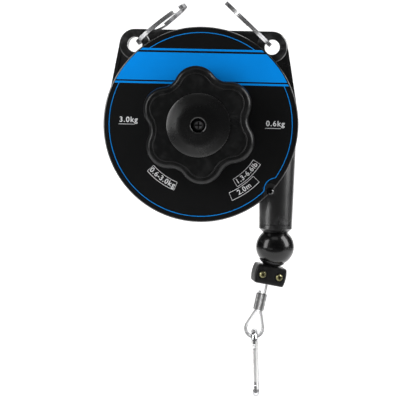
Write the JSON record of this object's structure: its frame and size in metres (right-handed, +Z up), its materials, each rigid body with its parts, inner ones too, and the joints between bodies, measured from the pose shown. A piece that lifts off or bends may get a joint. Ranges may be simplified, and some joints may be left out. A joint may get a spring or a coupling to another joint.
{
  "type": "spring tool balancer",
  "caption": "Round spring tool balancer with a lobed tension knob, a guide tube, a rope with a stop ball and a snap hook, hung by two split rings.",
  "frame": {"origin": "midway between the two hanging eyes, in the plane of the rope", "axes": "+Z up, +X to the right as the face is seen, -Y out of the face"},
  "size_m": [0.1466, 0.0678, 0.3014],
  "materials": {
    "casing": "fine textured black",
    "label": "black foil with blue bands",
    "screw_steel": "zinc plated",
    "cap_plastic": "black moulded",
    "bush_plastic": "natural acetal",
    "bronze": "sintered bronze",
    "brake_lining": "brown fibre",
    "drum_metal": "die cast, turned",
    "spring_steel": "oiled blue-grey strip",
    "ferrule_metal": "pressed, dull",
    "wire_rope": "stranded wire",
    "knob_plastic": "satin black",
    "arbor_steel": "turned",
    "ball_rubber": "glossy black",
    "clamp_plastic": "black moulded",
    "zinc_brass": "yellow zinc",
    "thimble_steel": "bright galvanised",
    "hook_chrome": "nickel plated",
    "ring_steel": "nickel plated spring wire"
  },
  "bodies": {
    "housing": {"rear_housing": "casing", "front_cover": "casing", "face_label": "label", "cover_screws": "screw_steel", "tube_screw": "screw_steel", "tube_end_cap": "cap_plastic", "rope_bush": "bush_plastic", "rear_bush": "bronze", "thrust_washer": "bush_plastic", "friction_washers": "brake_lining"},
    "drum": {"drum": "drum_metal", "drum_lid": "drum_metal", "journal_bushes": "bronze", "mainspring": "spring_steel", "spring_anchor_pin": "screw_steel", "rope_anchor": "ferrule_metal", "rope_on_drum": "wire_rope"},
    "knob": {"knob": "knob_plastic", "knob_dome": "knob_plastic", "knob_screw": "screw_steel", "arbor": "arbor_steel", "disc_spring": "spring_steel"},
    "stop_ball": {"ball_upper": "ball_rubber", "ball_lower": "ball_rubber", "rope_run": "wire_rope"},
    "tail": {"ball_seat": "cap_plastic", "clamp_front": "clamp_plastic", "clamp_rear": "clamp_plastic", "clamp_screws": "zinc_brass", "clamp_nuts": "zinc_brass", "rope_tail": "wire_rope", "ferrule": "ferrule_metal", "thimble": "thimble_steel"},
    "hook": {"hook_body": "hook_chrome"},
    "gate": {"hook_gate": "hook_chrome", "gate_pin": "screw_steel", "gate_spring": "spring_steel"},
    "ring_left": {"ring_left": "ring_steel"},
    "ring_right": {"ring_right": "ring_steel"}
  },
  "joints": [
    {"name": "drum_spin", "type": "hinge", "parent": "housing", "child": "drum", "pos_m": [0, 0, -0.0595], "axis": [0, 1, 0], "range_deg": [0, 1975.7], "stiffness_Nm_per_rad": 0.015, "springref_deg": -2578.31, "deforming": ["mainspring", "rope_on_drum"]},
    {"name": "rope_pull", "type": "slide", "parent": "housing", "child": "stop_ball", "axis": [0, 0, -1], "range_m": [0, 2], "deforming": ["rope_run"]},
    {"name": "tail_swing", "type": "hinge", "parent": "stop_ball", "child": "tail", "pos_m": [0.058, 0, -0.15144], "axis": [0, 1, 0], "range_deg": [-29, 7]},
    {"name": "hook_swing", "type": "hinge", "parent": "tail", "child": "hook", "pos_m": [0.04372, 0, -0.21467], "axis": [0, 1, 0], "range_deg": [-25, 25]},
    {"name": "gate_open", "type": "hinge", "parent": "hook", "child": "gate", "pos_m": [0.04429, -0.0061, -0.2256], "axis": [0.9986, 0, 0.0523], "range_deg": [0, 14], "stiffness_Nm_per_rad": 0.03, "springref_deg": -20.05},
    {"name": "knob_turn", "type": "hinge", "parent": "housing", "child": "knob", "pos_m": [0, 0, -0.0595], "axis": [0, 1, 0], "range_deg": [-3780, 1260], "deforming": ["mainspring"]},
    {"name": "ring_left_swing", "type": "hinge", "parent": "housing", "child": "ring_left", "pos_m": [-0.052, 0, 0], "axis": [0, -1, 0], "range_deg": [-12, 160]},
    {"name": "ring_right_swing", "type": "hinge", "parent": "housing", "child": "ring_right", "pos_m": [0.052, 0, 0], "axis": [0, 1, 0], "range_deg": [-15, 157]}
  ],
  "couplings": [
    {"joint": "rope_pull", "follows": "drum_spin", "m_per_rad": 0.058}
  ]
}
